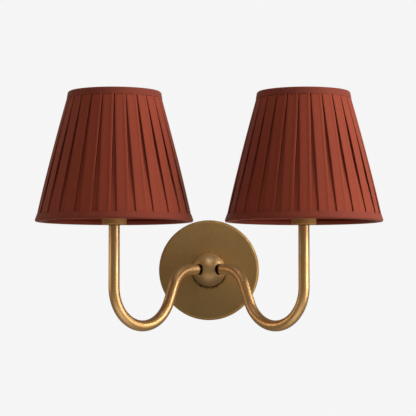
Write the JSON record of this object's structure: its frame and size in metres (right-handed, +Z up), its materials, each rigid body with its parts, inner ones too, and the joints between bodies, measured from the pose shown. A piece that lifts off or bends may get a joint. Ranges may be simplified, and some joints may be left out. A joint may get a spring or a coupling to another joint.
{
  "type": "double arm wall sconce",
  "caption": "Wall light with a round rose, a ball hub, swan-neck brass arms and box-pleated empire shades on screw-in lamp holders.",
  "frame": {"origin": "centre of the wall rose on the wall's surface", "axes": "+Y into the wall, +X to the right of a person facing the wall, +Z up"},
  "size_m": [0.3956, 0.2398, 0.2734],
  "materials": {
    "aged_brass": "aged, satin",
    "bright_brass": "turned, satin",
    "zinc_steel": "zinc plated",
    "terminal_plastic": "moulded, cream",
    "flex_sheath": "clear to cream sheath",
    "ceramic": "glazed, off-white",
    "screw_shell_metal": "plated",
    "wire_frame": "stove enamel, cream",
    "pleated_cloth": "terracotta weave",
    "lining_cloth": "terracotta weave, inside",
    "tape_cloth": "terracotta tape",
    "lamp_cap": "bright",
    "lamp_base": "black glass insulator",
    "lamp_glass": "clear",
    "filament": "yellow phosphor coat"
  },
  "bodies": {
    "fixed_frame": {"wall_bracket": "zinc_steel", "canopy": "aged_brass", "canopy_screws": "zinc_steel", "earth_screw": "bright_brass", "terminal_block": "terminal_plastic", "terminal_clamps": "bright_brass", "terminal_screws": "zinc_steel", "block_screws": "zinc_steel", "hub_ball": "aged_brass", "hub_neck": "aged_brass", "hub_pipe": "bright_brass", "hub_washer": "zinc_steel", "hub_nut": "bright_brass", "arm_left": "aged_brass", "lead_left": "flex_sheath", "holder_cup_left": "aged_brass", "holder_pipe_left": "bright_brass", "holder_nut_left": "bright_brass", "holder_core_left": "ceramic", "screw_shell_left": "screw_shell_metal", "centre_contact_left": "bright_brass", "holder_sleeve_left": "bright_brass", "arm_right": "aged_brass", "lead_right": "flex_sheath", "holder_cup_right": "aged_brass", "holder_pipe_right": "bright_brass", "holder_nut_right": "bright_brass", "holder_core_right": "ceramic", "screw_shell_right": "screw_shell_metal", "centre_contact_right": "bright_brass", "holder_sleeve_right": "bright_brass"},
    "shade_left": {"pleated_cover_left": "pleated_cloth", "shade_lining_left": "lining_cloth", "top_wire_left": "wire_frame", "shade_fitter_left": "wire_frame", "top_tape_left": "tape_cloth", "bottom_tape_left": "tape_cloth"},
    "ring_left": {"shade_ring_left": "bright_brass"},
    "bulb_left": {"bulb_cap_left": "lamp_cap", "bulb_base_left": "lamp_base", "bulb_tip_left": "bright_brass", "bulb_glass_left": "lamp_glass", "bulb_filament_left": "filament"},
    "shade_right": {"pleated_cover_right": "pleated_cloth", "shade_lining_right": "lining_cloth", "top_wire_right": "wire_frame", "shade_fitter_right": "wire_frame", "top_tape_right": "tape_cloth", "bottom_tape_right": "tape_cloth"},
    "ring_right": {"shade_ring_right": "bright_brass"},
    "bulb_right": {"bulb_cap_right": "lamp_cap", "bulb_base_right": "lamp_base", "bulb_tip_right": "bright_brass", "bulb_glass_right": "lamp_glass", "bulb_filament_right": "filament"}
  },
  "joints": [
    {"name": "shade_turn_left", "type": "hinge", "parent": "fixed_frame", "child": "shade_left", "pos_m": [-0.10783, -0.14983, 0.0525], "axis": [0, 0, 1], "continuous": true},
    {"name": "ring_turn_left", "type": "hinge", "parent": "fixed_frame", "child": "ring_left", "pos_m": [-0.10783, -0.14983, 0.0525], "axis": [0, 0, 1], "range_deg": [0, 3600]},
    {"name": "bulb_turn_left", "type": "hinge", "parent": "fixed_frame", "child": "bulb_left", "pos_m": [-0.10783, -0.14983, 0.0525], "axis": [0, 0, 1], "range_deg": [0, 1260]},
    {"name": "shade_turn_right", "type": "hinge", "parent": "fixed_frame", "child": "shade_right", "pos_m": [0.10783, -0.14983, 0.0525], "axis": [0, 0, 1], "continuous": true},
    {"name": "ring_turn_right", "type": "hinge", "parent": "fixed_frame", "child": "ring_right", "pos_m": [0.10783, -0.14983, 0.0525], "axis": [0, 0, 1], "range_deg": [0, 3600]},
    {"name": "bulb_turn_right", "type": "hinge", "parent": "fixed_frame", "child": "bulb_right", "pos_m": [0.10783, -0.14983, 0.0525], "axis": [0, 0, 1], "range_deg": [0, 1260]}
  ]
}
